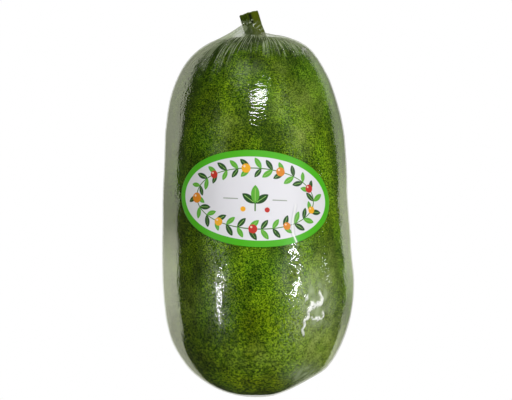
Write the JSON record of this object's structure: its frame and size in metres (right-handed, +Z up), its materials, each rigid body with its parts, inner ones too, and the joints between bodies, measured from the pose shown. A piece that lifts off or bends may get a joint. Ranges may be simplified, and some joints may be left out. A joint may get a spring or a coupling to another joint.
{
  "type": "winter melon",
  "caption": "Oblong dark green gourd lying on its side, wrapped in clear film gathered round its cut stem, with an oval label bent over its top.",
  "frame": {"origin": "on the plane that the fruit lies on, under the middle of the object's box", "axes": "+X across the fruit, +Y along it towards the stem, +Z up through the label"},
  "size_m": [0.1254, 0.2512, 0.1227],
  "materials": {
    "rind": "satin",
    "stem": "matte",
    "film": "gloss",
    "label": "satin"
  },
  "bodies": {
    "root": {"melon": "rind", "stem": "stem", "film": "film", "label": "label"}
  },
  "joints": []
}
